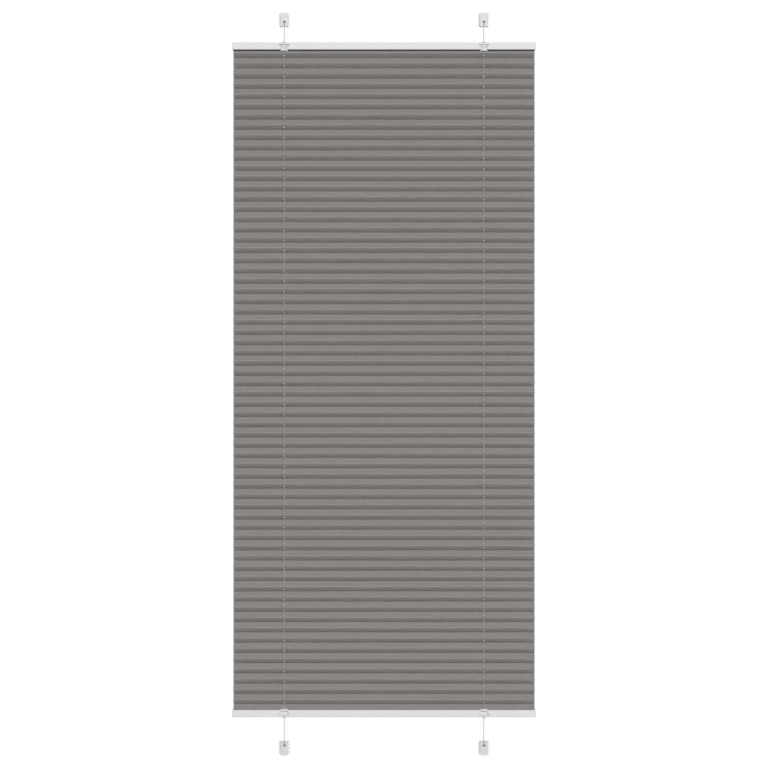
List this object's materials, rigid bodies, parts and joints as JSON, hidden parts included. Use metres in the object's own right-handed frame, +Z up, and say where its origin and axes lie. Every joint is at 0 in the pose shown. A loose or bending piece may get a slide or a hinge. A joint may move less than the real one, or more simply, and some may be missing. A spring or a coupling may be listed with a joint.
{
  "type": "pleated blind",
  "caption": "Pleated window blind: slim rails slide on taut cords between screw-on tension shoes, and a zigzag cloth folds up between them.",
  "frame": {"origin": "centre of the four shoe screw holes, in the plane of the surface that the shoes are screwed to", "axes": "+X to the right along the rails, +Y into the surface the shoes are screwed to, +Z up along the cords"},
  "size_m": [0.45, 0.0235, 1.1022],
  "materials": {
    "white_coated_aluminium": "satin white powder coat",
    "white_plastic": "moulded, slightly matt",
    "shoe_plastic": "moulded, satin, light grey white",
    "clear_polycarbonate": "clear moulded",
    "pleated_polyester": "warm grey woven polyester, stiffened and pleated",
    "cord_polyester": "white braided cord",
    "steel": "bright drawn"
  },
  "bodies": {
    "shoes_and_cords": {"shoe_base_top_left": "clear_polycarbonate", "shoe_body_top_left": "shoe_plastic", "cord_insert_top_left": "shoe_plastic", "shoe_base_top_right": "clear_polycarbonate", "shoe_body_top_right": "shoe_plastic", "cord_insert_top_right": "shoe_plastic", "shoe_base_bottom_left": "clear_polycarbonate", "shoe_body_bottom_left": "shoe_plastic", "cord_insert_bottom_left": "shoe_plastic", "shoe_base_bottom_right": "clear_polycarbonate", "shoe_body_bottom_right": "shoe_plastic", "cord_insert_bottom_right": "shoe_plastic", "upright_cord_left": "cord_polyester", "upright_cord_right": "cord_polyester", "pleated_fabric": "pleated_polyester"},
    "top_rail_set": {"top_rail": "white_coated_aluminium", "fabric_strip_top": "white_plastic", "deflection_pins_top": "steel", "crossing_cords_top": "cord_polyester", "end_cap_top_left": "white_plastic", "cord_guide_top_left": "white_plastic", "cord_eyelet_top_left": "white_plastic", "end_cap_top_right": "white_plastic", "cord_guide_top_right": "white_plastic", "cord_eyelet_top_right": "white_plastic", "tension_springs": "steel"},
    "bottom_rail_set": {"bottom_rail": "white_coated_aluminium", "fabric_strip_bottom": "white_plastic", "deflection_pins_bottom": "steel", "crossing_cords_bottom": "cord_polyester", "end_cap_bottom_left": "white_plastic", "cord_guide_bottom_left": "white_plastic", "cord_eyelet_bottom_left": "white_plastic", "end_cap_bottom_right": "white_plastic", "cord_guide_bottom_right": "white_plastic", "cord_eyelet_bottom_right": "white_plastic"}
  },
  "joints": [
    {"name": "top_rail_slide", "type": "slide", "parent": "shoes_and_cords", "child": "top_rail_set", "axis": [0, 0, -1], "range_m": [-0.0214, 0.46], "deforming": ["pleated_fabric"]},
    {"name": "bottom_rail_slide", "type": "slide", "parent": "shoes_and_cords", "child": "bottom_rail_set", "axis": [0, 0, 1], "range_m": [-0.0339, 0.46], "deforming": ["pleated_fabric"]}
  ]
}
